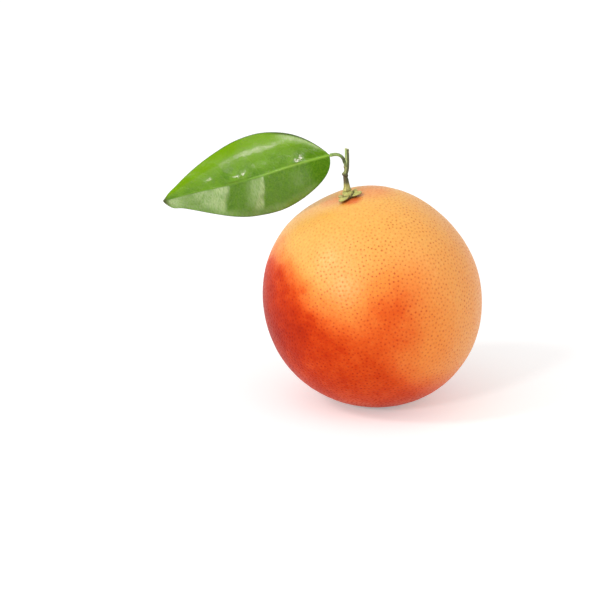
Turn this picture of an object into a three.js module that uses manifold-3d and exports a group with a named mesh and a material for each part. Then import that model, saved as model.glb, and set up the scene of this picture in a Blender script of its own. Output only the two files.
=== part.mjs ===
// A whole grapefruit with the cut twig it was picked with, and one leaf.
//
// Millimetres, +Z up. The origin is the centre of the small flat spot that the fruit rests on, with the
// leaf reaching out along -X and the front of the fruit at -Y. The fruit leans a little towards the leaf
// and towards the front.
// Five pieces come apart on a bench: the fruit, the calyx on its stem end, the twig, the leaf's stalk and
// the leaf's blade. Neighbours keep a gap of SEAM, where the plant has a join or an abscission layer.

import * as THREE from "three";
import { mergeVertices } from "three/addons/utils/BufferGeometryUtils.js";
import Module from "manifold-3d";

const wasm = await Module();
wasm.setup();

// ---- Driving dimensions -------------------------------------------------------------------------

const SEAM = 0.3; // clear gap between two neighbouring pieces
const LEAN = { leafwards: 12.3, forwards: 4 }; // degrees, of the stem end towards -X and -Y

const FRUIT = {
  girthRadius: 52.4, // across the long axis
  longRadius: 54.8, // along the long axis
  longAxisLean: 24, // degrees towards -X: the lopsided body leans more than its stem end does
  lowerFlattening: 0.04, // share of the height taken off the underside
  flatSpotRise: 1.6, // height of the cap that is pressed flat
  dimpleDepth: 1.3, // hollow round the calyx
  dimpleRadius: 8,
  scarDepth: 0.5, // stylar scar, at the lower end of the long axis
  scarRadius: 3,
  // Slight swells and hollows of the peel: degrees above +X in the XZ plane, height, and breadth in degrees.
  swells: [
    { angle: 86, height: 0.6, breadth: 20 },
    { angle: 48, height: -0.6, breadth: 17 },
    { angle: 116, height: -1.6, breadth: 15 },
    { angle: 155, height: 0.35, breadth: 20 },
  ],
};

const CALYX = {
  bossRadius: 2.6, // the swollen foot that the twig stands on
  bossHeight: 3.3,
  cupRadius: 3.6, // the fused part of the sepals
  thickness: 1.1,
  lobeHalfAngle: 24, // degrees
  tipLift: 0.7, // how far the tips stand off the peel
  // Five sepals, seen from above: degrees from +X towards +Y, and length from the twig's axis.
  lobes: [
    { angle: 242, length: 9.0 },
    { angle: 322, length: 7.4 },
    { angle: 40, length: 4.9 },
    { angle: 104, length: 6.2 },
    { angle: 170, length: 5.0 },
  ],
};

const TWIG = {
  baseRadius: 1.55,
  midRadius: 1.12,
  topRadius: 1.0,
  nodeHeight: 7.1, // height above its foot of the ring where an earlier bract fell off
  nodeSwell: 0.35,
  cutSlope: 0.35, // rise of the cut end across the twig, per mm
};

const STALK = { twigEndRadius: 1.0, middleRadius: 0.78, bladeEndRadius: 0.85 };

// Each half of the blade is as wide as reach * sin(pi * u^peak)^taper * (1 - crown * cos(2 pi u)) along its
// curved surface, u being the share of the length from the stalk, with a slight shoulder before the tip.
// Its margin is turned back by curl degrees where it is widest, so the glossy face is crowned.
const BLADE = {
  upperHalf: { reach: 21.2, peak: 0.823, taper: 0.97, crown: 0.04, shoulder: 0.6, curl: 40 },
  lowerHalf: { reach: 18.4, peak: 0.674, taper: 0.69, crown: 0.09, shoulder: 1.2, curl: 32 },
  tipHalfWidth: 0.5,
  thickness: 0.6,
  lean: 10, // degrees that the blade leans back from upright
  grooveDepth: 0.5, // the midrib lies in a shallow fold
  grooveWidth: 0.16, // share of the half width
  waves: 5.5, // side veins lift the blade into this many waves along its length
  waveHeight: 0.55,
};

// ---- Tools --------------------------------------------------------------------------------------

const UP = new THREE.Vector3(0, 0, 1);
const BACK = new THREE.Vector3(0, 1, 0);
const radians = THREE.MathUtils.degToRad;
const clamp = THREE.MathUtils.clamp;
const bell = (x, width) => Math.exp(-((x / width) ** 2));
const flatBell = (x, width) => Math.exp(-((x / width) ** 4));

// Moves every vertex of a geometry to where place() says, and merges the vertices that coincide.
function reshape(geometry, place) {
  const bare = geometry.clone();
  for (const name of ["normal", "uv"]) bare.deleteAttribute(name);
  const merged = mergeVertices(bare, 1e-4);
  const position = merged.getAttribute("position");
  const point = new THREE.Vector3();
  for (let i = 0; i < position.count; i++) {
    const moved = place(point.fromBufferAttribute(position, i).clone());
    position.setXYZ(i, moved.x, moved.y, moved.z);
  }
  merged.computeVertexNormals();
  return merged;
}

function solid(geometry) {
  const vertProperties = geometry.getAttribute("position").array;
  const triVerts = new Uint32Array(geometry.index.array);
  return new wasm.Manifold(new wasm.Mesh({ numProp: 3, vertProperties, triVerts }));
}

function geometryOf(manifold) {
  const { vertProperties, triVerts } = manifold.getMesh();
  const geometry = new THREE.BufferGeometry();
  geometry.setAttribute("position", new THREE.BufferAttribute(vertProperties, 3));
  geometry.setIndex(new THREE.BufferAttribute(triVerts, 1));
  geometry.computeVertexNormals();
  return geometry;
}

// A round rod along a curve. radiusAt(t) is its radius at the share t of its length.
function rodAlong(curve, radiusAt, sides, steps, endSlope = 0) {
  const rod = new THREE.CylinderGeometry(1, 1, 1, sides, steps);
  const frames = curve.computeFrenetFrames(steps, false);
  return reshape(rod, (p) => {
    const t = clamp(p.y + 0.5, 0, 1);
    const step = Math.round(t * steps);
    const slope = step === steps ? endSlope * p.x * radiusAt(t) : 0;
    return curve
      .getPointAt(t)
      .addScaledVector(frames.normals[step], p.x * radiusAt(t))
      .addScaledVector(frames.binormals[step], -p.z * radiusAt(t))
      .addScaledVector(frames.tangents[step], slope);
  });
}

// ---- Fruit --------------------------------------------------------------------------------------

const stemDirection = new THREE.Vector3(
  -Math.sin(radians(LEAN.leafwards)),
  -Math.sin(radians(LEAN.forwards)),
  Math.cos(radians(LEAN.leafwards)),
).normalize();
const leanOfLongAxis = new THREE.Quaternion().setFromAxisAngle(BACK, -radians(FRUIT.longAxisLean));
const scarDirection = new THREE.Vector3(0, 0, -1).applyQuaternion(leanOfLongAxis);

// The peel's point in a direction from the middle of the fruit.
function peelPoint(direction) {
  const own = direction.clone().applyQuaternion(leanOfLongAxis.clone().invert());
  const point = new THREE.Vector3(FRUIT.girthRadius, FRUIT.girthRadius, FRUIT.longRadius)
    .multiply(own)
    .applyQuaternion(leanOfLongAxis);
  if (point.z < 0) point.z *= 1 - FRUIT.lowerFlattening * direction.z ** 2;

  const fromStem = direction.angleTo(stemDirection) * FRUIT.girthRadius;
  const fromScar = direction.angleTo(scarDirection) * FRUIT.girthRadius;
  let rise =
    -FRUIT.dimpleDepth * bell(fromStem, FRUIT.dimpleRadius) -
    FRUIT.scarDepth * bell(fromScar, FRUIT.scarRadius);
  for (const { angle, height, breadth } of FRUIT.swells) {
    const middle = new THREE.Vector3(Math.cos(radians(angle)), 0, Math.sin(radians(angle)));
    rise += height * bell(direction.angleTo(middle), radians(breadth));
  }
  return point.addScaledVector(direction, rise);
}

// The lowest point before the flat spot is pressed in: it lies under the middle, a little to one side.
function lowestPeel() {
  let lowest = new THREE.Vector3();
  for (let degrees = -20; degrees <= 20; degrees += 0.25) {
    const tilt = radians(degrees);
    const point = peelPoint(new THREE.Vector3(Math.sin(tilt), 0, -Math.cos(tilt)));
    if (point.z < lowest.z) lowest = point;
  }
  return lowest;
}

const lowest = lowestPeel();
const centre = new THREE.Vector3(-lowest.x, 0, -lowest.z - FRUIT.flatSpotRise);

// The point of the peel at a distance and heading round the twig's axis, lifted clear of it.
function overPeel(distance, heading, lift) {
  const direction = stemDirection
    .clone()
    .multiplyScalar(FRUIT.girthRadius)
    .add(new THREE.Vector3(Math.cos(heading), Math.sin(heading), 0).multiplyScalar(distance))
    .normalize();
  return peelPoint(direction).add(centre).addScaledVector(direction, lift);
}

function makeFruit() {
  const rings = 40;
  const profile = [];
  for (let i = 0; i <= rings; i++) {
    const share = i / rings;
    // The rings crowd together towards both ends, where the dimple and the scar are.
    const polar = Math.PI * (share - (0.6 * Math.sin(2 * Math.PI * share)) / (2 * Math.PI));
    const onAxis = i === 0 || i === rings;
    profile.push(new THREE.Vector2(onAxis ? 0 : Math.sin(polar), -Math.cos(polar)));
  }
  const toStem = new THREE.Quaternion().setFromUnitVectors(new THREE.Vector3(0, 1, 0), stemDirection);
  const body = reshape(new THREE.LatheGeometry(profile, 64), (p) =>
    peelPoint(p.applyQuaternion(toStem).normalize()).add(centre),
  );
  const under = new THREE.BoxGeometry(4 * FRUIT.girthRadius, 4 * FRUIT.girthRadius, 20);
  const floor = reshape(under, (p) => p.setZ(p.z - 10));
  return geometryOf(solid(body).subtract(solid(floor)));
}

// ---- Calyx --------------------------------------------------------------------------------------

function calyxRadius(heading) {
  let reach = CALYX.cupRadius;
  for (const lobe of CALYX.lobes) {
    const turn = Math.abs(((THREE.MathUtils.radToDeg(heading) - lobe.angle + 540) % 360) - 180);
    reach += (lobe.length - CALYX.cupRadius) * bell(turn, CALYX.lobeHalfAngle);
  }
  return reach;
}

function makeCalyx() {
  // A disc of unit radius, whose two faces become the sepals' two faces.
  const across = 6;
  const profile = [];
  for (let i = 0; i <= across; i++) profile.push(new THREE.Vector2(i / across, -1));
  for (let i = across; i >= 0; i--) profile.push(new THREE.Vector2(i / across, 1));
  return reshape(new THREE.LatheGeometry(profile, 60), (p) => {
    const share = Math.hypot(p.x, p.z);
    const heading = Math.atan2(-p.z, p.x);
    const distance = share * calyxRadius(heading);
    const lift = SEAM + CALYX.tipLift * share ** 4;
    const boss = (CALYX.bossHeight - CALYX.thickness) * flatBell(distance, CALYX.bossRadius);
    const thick = CALYX.thickness * (1 - 0.5 * share ** 2) + boss;
    return overPeel(distance, heading, p.y > 0 ? lift + thick : lift);
  });
}

// ---- Twig, stalk and blade ----------------------------------------------------------------------

// The twig climbs from the calyx with two slight bends, and was cut off above the leaf.
const twigFoot = overPeel(0, 0, SEAM + CALYX.bossHeight + SEAM);
const fromFoot = (x, y, z) => twigFoot.clone().add(new THREE.Vector3(x, y, z));
const twigLine = new THREE.CatmullRomCurve3([
  twigFoot,
  fromFoot(-0.45, 0, 4),
  fromFoot(-0.8, 0, TWIG.nodeHeight),
  fromFoot(-0.15, 0, TWIG.nodeHeight + 2.6),
  fromFoot(0, 0.1, 13.6),
  fromFoot(-0.2, 0, 19.7),
]);

function twigRadius(t) {
  const height = t * twigLine.getLength();
  const foot = (TWIG.baseRadius - TWIG.midRadius) * bell(height, 4);
  const ring = TWIG.nodeSwell * bell(height - TWIG.nodeHeight, 0.9);
  const taper = THREE.MathUtils.lerp(TWIG.midRadius, TWIG.topRadius, t);
  return taper + foot + ring;
}

// The stalk leaves the twig at the leaf's axil, arches over and runs out into the midrib.
const bladeBase = fromFoot(-8.4, 0, 16.6);
const stalkLine = new THREE.CatmullRomCurve3([
  fromFoot(-0.2, 0, 11.2),
  fromFoot(-1.4, 0, 13.9),
  fromFoot(-2.4, 0, 15.7),
  fromFoot(-3.8, 0, 16.7),
  fromFoot(-5.6, 0, 17),
  bladeBase.clone().add(new THREE.Vector3(SEAM + 0.1, 0, 0.05)),
]);

function stalkRadius(t) {
  const slim = STALK.middleRadius;
  const end = t < 0.5 ? STALK.twigEndRadius : STALK.bladeEndRadius;
  return slim + (end - slim) * (2 * t - 1) ** 2;
}

// The stalk starts inside the twig and is cut back to a seam, so that its foot fits the bark.
function makeStalk() {
  const twigWithSeam = rodAlong(twigLine, (t) => twigRadius(t) + SEAM, 16, 22);
  const stalk = rodAlong(stalkLine, stalkRadius, 12, 20);
  return geometryOf(solid(stalk).subtract(solid(twigWithSeam)));
}

// The midrib sags from the stalk to the tip, and swings towards the back.
const midrib = new THREE.CatmullRomCurve3([
  bladeBase,
  bladeBase.clone().add(new THREE.Vector3(-15.2, 3.5, -5.2)),
  bladeBase.clone().add(new THREE.Vector3(-31.8, 7.4, -11.9)),
  bladeBase.clone().add(new THREE.Vector3(-48.1, 11.5, -17.6)),
  bladeBase.clone().add(new THREE.Vector3(-64, 15.6, -22.4)),
  bladeBase.clone().add(new THREE.Vector3(-79.5, 20, -28)),
]);

function halfWidth(half, u) {
  if (u <= 0 || u >= 1) return BLADE.tipHalfWidth;
  const outline = Math.sin(Math.PI * u ** half.peak) ** half.taper * (1 - half.crown * Math.cos(2 * Math.PI * u));
  const shoulder = half.shoulder * bell(u - 0.955, 0.04);
  return Math.max(BLADE.tipHalfWidth, half.reach * outline + shoulder);
}

// The blade's middle surface: u runs along the midrib, v from -1 at the lower margin to 1 at the upper.
function bladePoint(u, v) {
  const along = midrib.getTangentAt(u);
  const lean = new THREE.Quaternion().setFromAxisAngle(along, radians(BLADE.lean));
  const across = UP.clone().addScaledVector(along, -UP.dot(along)).normalize().applyQuaternion(lean);
  const front = across.clone().cross(along).normalize();
  const half = v > 0 ? BLADE.upperHalf : BLADE.lowerHalf;
  const width = halfWidth(half, u);
  const room = width / half.reach;
  const curl = radians(half.curl) * room;
  const turn = Math.abs(v) * curl;
  const out = (Math.sign(v) * width * Math.sin(turn)) / curl;
  const back = (width * (1 - Math.cos(turn))) / curl;
  const groove = BLADE.grooveDepth * room * bell(v, BLADE.grooveWidth);
  const wave = Math.sin(2 * Math.PI * (BLADE.waves * u - 0.75 * Math.abs(v)));
  const rise = BLADE.waveHeight * room * wave * Math.abs(v) * (1.2 - Math.abs(v));
  return {
    point: midrib.getPointAt(u).addScaledVector(across, out).addScaledVector(front, rise - back - groove),
    front: front.clone().multiplyScalar(Math.cos(turn)).addScaledVector(across, Math.sign(v) * Math.sin(turn)),
  };
}

function makeBlade() {
  const box = new THREE.BoxGeometry(1, 1, 1, 38, 18, 1);
  return reshape(box, (p) => {
    // Stations crowd towards both ends, where the outline turns fastest.
    const share = p.x + 0.5;
    const u = clamp(share - (0.7 * Math.sin(2 * Math.PI * share)) / (2 * Math.PI), 0, 1);
    const { point, front } = bladePoint(u, 2 * p.y);
    // The box's upper face becomes the blade's underside, which keeps every face turned outwards.
    return point.addScaledVector(front, -p.z * BLADE.thickness);
  });
}

// ---- Assembly -----------------------------------------------------------------------------------

const LOOKS = {
  peel: { color: 0xf5a94f, roughness: 0.45 },
  sepal: { color: 0xa9b060, roughness: 0.7 },
  bark: { color: 0x8a8648, roughness: 0.75 },
  stalk: { color: 0x7d9a4a, roughness: 0.6 },
  leaf: { color: 0x5f9a22, roughness: 0.35 },
};

function piece(name, geometry, look) {
  const material = new THREE.MeshStandardMaterial({ ...LOOKS[look], metalness: 0 });
  const mesh = new THREE.Mesh(geometry, material);
  mesh.name = name;
  return mesh;
}

const grapefruit = new THREE.Group();
grapefruit.add(
  piece("fruit", makeFruit(), "peel"),
  piece("calyx", makeCalyx(), "sepal"),
  piece("stem", rodAlong(twigLine, twigRadius, 16, 22, TWIG.cutSlope), "bark"),
  piece("petiole", makeStalk(), "stalk"),
  piece("leaf_blade", makeBlade(), "leaf"),
);

export default grapefruit;
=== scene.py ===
import math
from functools import partialmethod

import bmesh
import bpy
import numpy as np
from mathutils import Matrix, Vector, kdtree


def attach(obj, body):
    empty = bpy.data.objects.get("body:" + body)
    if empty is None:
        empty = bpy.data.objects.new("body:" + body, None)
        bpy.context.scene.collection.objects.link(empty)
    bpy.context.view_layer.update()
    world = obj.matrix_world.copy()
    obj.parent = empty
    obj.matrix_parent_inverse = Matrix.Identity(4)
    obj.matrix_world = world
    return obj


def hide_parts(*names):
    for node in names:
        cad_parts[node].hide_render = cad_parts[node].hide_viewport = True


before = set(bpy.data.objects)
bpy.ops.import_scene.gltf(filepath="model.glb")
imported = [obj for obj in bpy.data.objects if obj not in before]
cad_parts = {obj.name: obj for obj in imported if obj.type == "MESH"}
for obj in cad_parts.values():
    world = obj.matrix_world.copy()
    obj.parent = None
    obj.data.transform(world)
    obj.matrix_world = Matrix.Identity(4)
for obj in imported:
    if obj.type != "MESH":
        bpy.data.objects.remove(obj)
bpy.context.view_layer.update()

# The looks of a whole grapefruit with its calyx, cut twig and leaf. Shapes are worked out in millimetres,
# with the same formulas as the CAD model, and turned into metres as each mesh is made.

MM = 0.001
rng = np.random.default_rng(7)

# ---- Driving dimensions, in millimetres and degrees, the same as the CAD model's ----

STEM_LEAN = {"leafwards": 12.3, "forwards": 4.0}
GIRTH_RADIUS = 52.4
LONG_RADIUS = 54.8
LONG_AXIS_LEAN = 24.0
LOWER_FLATTENING = 0.04
FLAT_SPOT_RISE = 1.6
DIMPLE = (1.3, 8.0)  # depth, radius
SCAR = (0.5, 3.0)
SWELLS = [(86, 0.6, 20), (48, -0.6, 17), (116, -1.6, 15), (155, 0.35, 20)]  # angle, height, breadth

SEAM = 0.3  # clear gap between two neighbouring pieces
CALYX_TOP = 3.6  # above the peel, one seam below the twig's foot

TWIG_POINTS = [(0, 0, 0), (-0.45, 0, 4), (-0.8, 0, 7.1), (-0.15, 0, 9.7), (0, 0.1, 13.6), (-0.2, 0, 19.7)]
NODE_HEIGHT = 7.1
BLADE_BASE = (-8.4, 0, 16.6)
STALK_POINTS = [
    (-0.2, 0, 11.2), (-1.4, 0, 13.9), (-2.4, 0, 15.7), (-3.8, 0, 16.7), (-5.6, 0, 17), (-8.0, 0, 16.65),
]
MIDRIB_POINTS = [
    (0, 0, 0), (-15.2, 3.5, -5.2), (-31.8, 7.4, -11.9), (-48.1, 11.5, -17.6), (-64, 15.6, -22.4),
    (-79.5, 20, -28),
]
BLADE_LEAN = 10.0
UPPER_HALF = {"reach": 21.2, "peak": 0.823, "taper": 0.97, "crown": 0.04, "shoulder": 0.6, "curl": 40.0}
LOWER_HALF = {"reach": 18.4, "peak": 0.674, "taper": 0.69, "crown": 0.09, "shoulder": 1.2, "curl": 32.0}


# ---- Tools for shapes ----

def unit(vectors):
    vectors = np.asarray(vectors, float)
    return vectors / np.linalg.norm(vectors, axis=-1, keepdims=True)


def bell(x, width):
    return np.exp(-((x / width) ** 2))


def fade(low, high, x):
    """Goes smoothly from 0 at low to 1 at high."""
    share = np.clip((x - low) / (high - low), 0, 1)
    return share * share * (3 - 2 * share)


def places(x, y, z=0.0):
    """Points from grids of coordinates."""
    return np.stack(np.broadcast_arrays(x, y, z), axis=-1)


def full_turn(count):
    return np.linspace(0, 2 * math.pi, count, endpoint=False)


def cosine(degrees):
    return math.cos(math.radians(degrees))


def sine(degrees):
    return math.sin(math.radians(degrees))


def off_axis(directions, axis):
    """The angles between directions and an axis."""
    return np.arccos(np.clip(directions @ axis, -1, 1))


def turned(vectors, degrees):
    """The vectors turned about the frame's Y axis."""
    x, y, z = np.moveaxis(np.asarray(vectors, float), -1, 0)
    return places(x * cosine(degrees) + z * sine(degrees), y, z * cosine(degrees) - x * sine(degrees))


class Spline:
    """A centripetal Catmull-Rom curve through points, read by its share of the length."""

    STEPS = 600

    def __init__(self, points):
        points = np.array(points, float)
        ends = [2 * points[0] - points[1], 2 * points[-1] - points[-2]]
        padded = np.vstack([ends[0], points, ends[1]])
        samples = [points[0]]
        for i in range(len(points) - 1):
            p0, p1, p2, p3 = padded[i:i + 4]
            d0, d1, d2 = (np.linalg.norm(step) ** 0.5 for step in (p1 - p0, p2 - p1, p3 - p2))
            t1 = ((p1 - p0) / d0 - (p2 - p0) / (d0 + d1) + (p2 - p1) / d1) * d1
            t2 = ((p2 - p1) / d1 - (p3 - p1) / (d1 + d2) + (p3 - p2) / d2) * d1
            for w in np.linspace(0, 1, self.STEPS // (len(points) - 1) + 1)[1:]:
                samples.append(p1 + t1 * w + (3 * p2 - 3 * p1 - 2 * t1 - t2) * w ** 2
                               + (2 * p1 - 2 * p2 + t1 + t2) * w ** 3)
        self.samples = np.array(samples)
        steps_long = np.linalg.norm(np.diff(self.samples, axis=0), axis=1)
        self.length = steps_long.sum()
        self.shares = np.r_[0, np.cumsum(steps_long)] / self.length
        self.tangents = unit(np.gradient(self.samples, self.shares, axis=0))

    def _at(self, values, share):
        return np.stack([np.interp(share, self.shares, values[:, k]) for k in range(3)], axis=-1)

    def point(self, share):
        return self._at(self.samples, share)

    def tangent(self, share):
        return unit(self._at(self.tangents, share))


LATTICE_VALUES = 4096
LATTICE_PRIMES = (73856093, 19349663, 83492791)


def lattice_noise(points, size, seed):
    """Smooth noise from -1 to 1 with lumps of one size, from random values on a cubic lattice."""
    table = np.random.default_rng(seed).uniform(-1, 1, LATTICE_VALUES)
    scaled = points / size
    cell = np.floor(scaled).astype(int)
    part = scaled - cell
    part = part * part * (3 - 2 * part)
    total = np.zeros(scaled.shape[:-1])
    for corner in np.ndindex(2, 2, 2):
        weight = np.prod(np.where(corner, part, 1 - part), axis=-1)
        index = np.bitwise_xor.reduce((cell + corner) * LATTICE_PRIMES, axis=-1)
        total += weight * table[index % LATTICE_VALUES]
    return total


def add_object(name, data):
    made = bpy.data.objects.new(name, data)
    bpy.context.scene.collection.objects.link(made)
    return made


def make_piece(name, points, faces, attributes, materials, kinds=None):
    """A smooth mesh object from points in millimetres and faces. kinds gives each face's material."""
    mesh = bpy.data.meshes.new(name)
    points = points.reshape(-1, 3)
    mesh.from_pydata(points * MM, [], faces)
    mesh.shade_smooth()
    for material in materials:
        mesh.materials.append(material)
    if kinds is not None:
        mesh.polygons.foreach_set("material_index", kinds)
    for label, values in attributes.items():
        kind, field = ("FLOAT_VECTOR", "vector") if values.size > len(points) else ("FLOAT", "value")
        values = values.astype(float).ravel()
        mesh.attributes.new(label, kind, "POINT").data.foreach_set(field, values)
    mesh.update()
    return add_object(name, mesh)


def grid_faces(rows, columns, closed):
    """Quads over a grid of points, which closes on itself across its columns or not."""
    i, j = np.meshgrid(np.arange(rows - 1), np.arange(columns if closed else columns - 1), indexing="ij")
    here = (i * columns + j).ravel()
    beside = (i * columns + (j + 1) % columns).ravel()
    return np.stack([here, beside, beside + columns, here + columns], axis=1)


def mend(piece):
    """Joins points that coincide, such as a pole's, drops the faces that this leaves empty, and turns the
    rest outward."""
    shape = bmesh.new()
    shape.from_mesh(piece.data)
    bmesh.ops.remove_doubles(shape, verts=shape.verts, dist=0.001 * MM)
    bmesh.ops.dissolve_degenerate(shape, dist=0.0001 * MM, edges=shape.edges)
    bmesh.ops.recalc_face_normals(shape, faces=shape.faces)
    shape.to_mesh(piece.data)
    shape.free()
    piece.data.shade_smooth()


# ---- The peel's surface ----

stem_direction = unit([
    -sine(STEM_LEAN["leafwards"]), -sine(STEM_LEAN["forwards"]), cosine(STEM_LEAN["leafwards"]),
])
scar_direction = turned((0, 0, -1), -LONG_AXIS_LEAN)


def peel_points(directions):
    """The peel's points in directions from the fruit's middle."""
    own = turned(directions, LONG_AXIS_LEAN)
    points = turned(own * [GIRTH_RADIUS, GIRTH_RADIUS, LONG_RADIUS], -LONG_AXIS_LEAN)
    squash = 1 - LOWER_FLATTENING * directions[:, 2] ** 2
    points[:, 2] = np.where(points[:, 2] < 0, points[:, 2] * squash, points[:, 2])
    rise = np.zeros(len(directions))
    for (depth, radius), axis in ((DIMPLE, stem_direction), (SCAR, scar_direction)):
        rise -= depth * bell(off_axis(directions, axis) * GIRTH_RADIUS, radius)
    for angle, height, breadth in SWELLS:
        swell = off_axis(directions, (cosine(angle), 0, sine(angle)))
        rise += height * bell(swell, math.radians(breadth))
    return points + directions * rise[:, None]


def fruit_middle():
    """The fruit's middle, with its lowest point just under the frame's origin."""
    tilts = np.radians(np.arange(-20, 20.01, 0.25))
    under = peel_points(places(np.sin(tilts), 0, -np.cos(tilts)))
    lowest = under[under[:, 2].argmin()]
    return np.array([-lowest[0], 0, -lowest[2] - FLAT_SPOT_RISE])


middle = fruit_middle()


def over_peel(distance, heading, lift):
    """Points at a distance and heading round the twig's axis, lifted off the peel."""
    distance, heading, lift = np.broadcast_arrays(distance, heading, lift)
    outward = places(np.cos(heading), np.sin(heading)) * distance[..., None]
    directions = unit(stem_direction * GIRTH_RADIUS + outward).reshape(-1, 3)
    points = peel_points(directions) + middle + directions * lift.reshape(-1, 1)
    return points.reshape(outward.shape)


twig_foot = over_peel(0.0, 0.0, CALYX_TOP + SEAM)
twig_line = Spline(np.array(TWIG_POINTS) + twig_foot)
stalk_line = Spline(np.array(STALK_POINTS) + twig_foot)
midrib = Spline(np.array(MIDRIB_POINTS) + twig_foot + BLADE_BASE)


# ---- Tools for materials ----

def linear(colour):
    """A display colour of 0 to 255 a channel as the linear colour that shaders use."""
    shares = np.array(colour) / 255
    return (*np.where(shares <= 0.04045, shares / 12.92, ((shares + 0.055) / 1.055) ** 2.4), 1.0)


class Shader:
    """The nodes of a material or a world, written as nested calls, and the colour so far."""

    def __init__(self, owner, output):
        owner.use_nodes = True
        self.owner = owner
        self.tree = owner.node_tree
        self.tree.nodes.clear()
        self.output = self.node(output)

    def put(self, socket, value):
        if isinstance(value, bpy.types.NodeSocket):
            self.tree.links.new(value, socket)
        else:
            socket.default_value = value

    def node(self, kind, *values, settings=None, **inputs):
        """A node with its first inputs given in order, and others by name."""
        made = self.tree.nodes.new("ShaderNode" + kind)
        for key, value in (settings or {}).items():
            setattr(made, key, value)
        for socket, value in zip(made.inputs, values):
            self.put(socket, value)
        for key, value in inputs.items():
            self.put(made.inputs[key.replace("_", " ")], value)
        return made

    def surface(self, shader):
        self.put(self.output.inputs["Surface"], shader)
        return self.owner

    def math(self, operation, *values):
        return self.node("Math", *values, settings={"operation": operation}).outputs[0]

    plus = partialmethod(math, "ADD")
    times = partialmethod(math, "MULTIPLY")
    times_plus = partialmethod(math, "MULTIPLY_ADD")
    larger = partialmethod(math, "MAXIMUM")

    def vector(self, operation, *values, result="Vector"):
        return self.node("VectorMath", *values, settings={"operation": operation}).outputs[result]

    def read(self, name, result="Fac"):
        return self.node("Attribute", settings={"attribute_name": name}).outputs[result]

    def ramp(self, value, low, high, at_low, at_high):
        """Goes smoothly from at_low to at_high as the value goes from low to high."""
        smooth = {"interpolation_type": "SMOOTHSTEP"}
        return self.node("MapRange", value, low, high, at_low, at_high, settings=smooth).outputs[0]

    def step(self, value, low, high, top=1.0):
        return self.ramp(value, low, high, 0.0, top)

    def band(self, value, rise, fall):
        """1 between a smooth rise and a smooth fall."""
        return self.times(self.step(value, *rise), self.step(value, *fall))

    def mix(self, share, first, second, blend="MIX"):
        """A colour between two, each a socket or a display colour."""
        made = self.node("Mix", share, settings={"data_type": "RGBA", "blend_type": blend})
        for socket, colour in ((6, first), (7, second)):
            self.put(made.inputs[socket], linear(colour) if isinstance(colour, tuple) else colour)
        return made.outputs[2]

    def coat(self, share, colour, blend="MIX"):
        """Lays a colour over the colour so far."""
        self.colour = self.mix(share, self.colour, colour, blend)

    def tint(self, colour, value, low, high, top=1.0):
        """The same, where a value has gone from low to high."""
        self.coat(self.step(value, low, high, top), colour)


class MaterialShader(Shader):
    """A material, with patterns whose sizes are in millimetres."""

    def __init__(self, name):
        super().__init__(bpy.data.materials.new(name), "OutputMaterial")
        self.coords = self.node("TexCoord").outputs["Object"]

    def noise(self, size, detail=3.0, roughness=0.5, where=None):
        """Noise with lumps of about a size, from 0 to 1."""
        where = where or self.coords
        scale = 1 / (size * MM)
        return self.node("TexNoise", where, Scale=scale, Detail=detail, Roughness=roughness).outputs[0]

    def spots(self, size, where=None, feature="F1"):
        """Distance from random points about a size apart, as a share of that size."""
        where = where or self.coords
        scale = 1 / (size * MM)
        return self.node("TexVoronoi", where, settings={"feature": feature}, Scale=scale).outputs[0]

    def stretched(self, *scale):
        return self.node("Mapping", self.coords, Scale=scale).outputs["Vector"]

    def finish(self, roughness, relief, depth, **inputs):
        """Ends a material whose relief from 0 to 1 has a depth in millimetres."""
        normal = self.node("Bump", Distance=depth * MM, Height=relief).outputs["Normal"]
        made = self.node("BsdfPrincipled", self.colour, Roughness=roughness, Normal=normal, **inputs)
        return self.surface(made.outputs["BSDF"])


# ---- Peel material ----

# Where the blush is stronger or weaker: an axis from the fruit's middle, a reach in degrees, an amount.
BLUSH_WAVES = [((0.55, -0.71, 0.43), 54, 0.45), ((0.72, -0.59, -0.32), 57, -0.35)]
BLUSH_AND_SHADE_PATCHES = [
    ((-0.93, -0.37, 0.02), 41, 0.42), ((-0.86, -0.40, -0.30), 50, 0.22), ((-0.90, 0.10, -0.30), 50, 0.14),
    ((-0.93, 0.10, 0.22), 34, 0.18), (scar_direction, 24, -0.25),
]
# Colours of the blush from its edge inwards, and the strengths between which each comes up. The deepest red
# is partly the peel's own blush and partly painted shade and painted red reflected light.
BLUSH_AND_SHADE_COLOURS = [
    ((247, 146, 48), 0.0, 0.30), ((235, 98, 22), 0.22, 0.60), ((212, 62, 12), 0.48, 0.82),
    ((164, 26, 5), 0.68, 1.12),
]
# Redder tints round the calyx: the axis from the stem's, degrees and strength. The strongest, just in front
# of the calyx, is painted shade under it; the other two tint the peel redder beside it.
STEM_STAINS_AND_SHADE = [((0.02, -0.12, 0), 6.0, 0.85), ((0.20, 0.05, 0), 14.0, 0.40), ((-0.16, 0.04, 0), 9.0, 0.35)]


class PeelShader(MaterialShader):
    """The peel, with how far each place lies towards an axis from the fruit's middle."""

    def __init__(self):
        super().__init__("peel")
        self.direction = self.vector("NORMALIZE", self.vector("SUBTRACT", self.coords, tuple(middle * MM)))
        self.patchy = self.noise(9)
        self.fine = self.noise(1.6, roughness=0.6)
        small = self.times(self.plus(self.patchy, -0.5), 0.12)
        self.uneven = self.times_plus(self.plus(self.noise(28, detail=2), -0.5), 0.16, small)

    def near(self, axis):
        return self.vector("DOT_PRODUCT", self.direction, tuple(unit(axis)), result="Value")

    def along(self, axis, spread):
        """How far a place lies towards an axis, from -1 to 1, made uneven by a spread."""
        return self.times_plus(self.uneven, spread, self.near(axis))

    def disc(self, axis, start, full, top=1.0):
        """Rises from start degrees off an axis to full degrees."""
        return self.step(self.near(axis), cosine(start), cosine(full), top)


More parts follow.
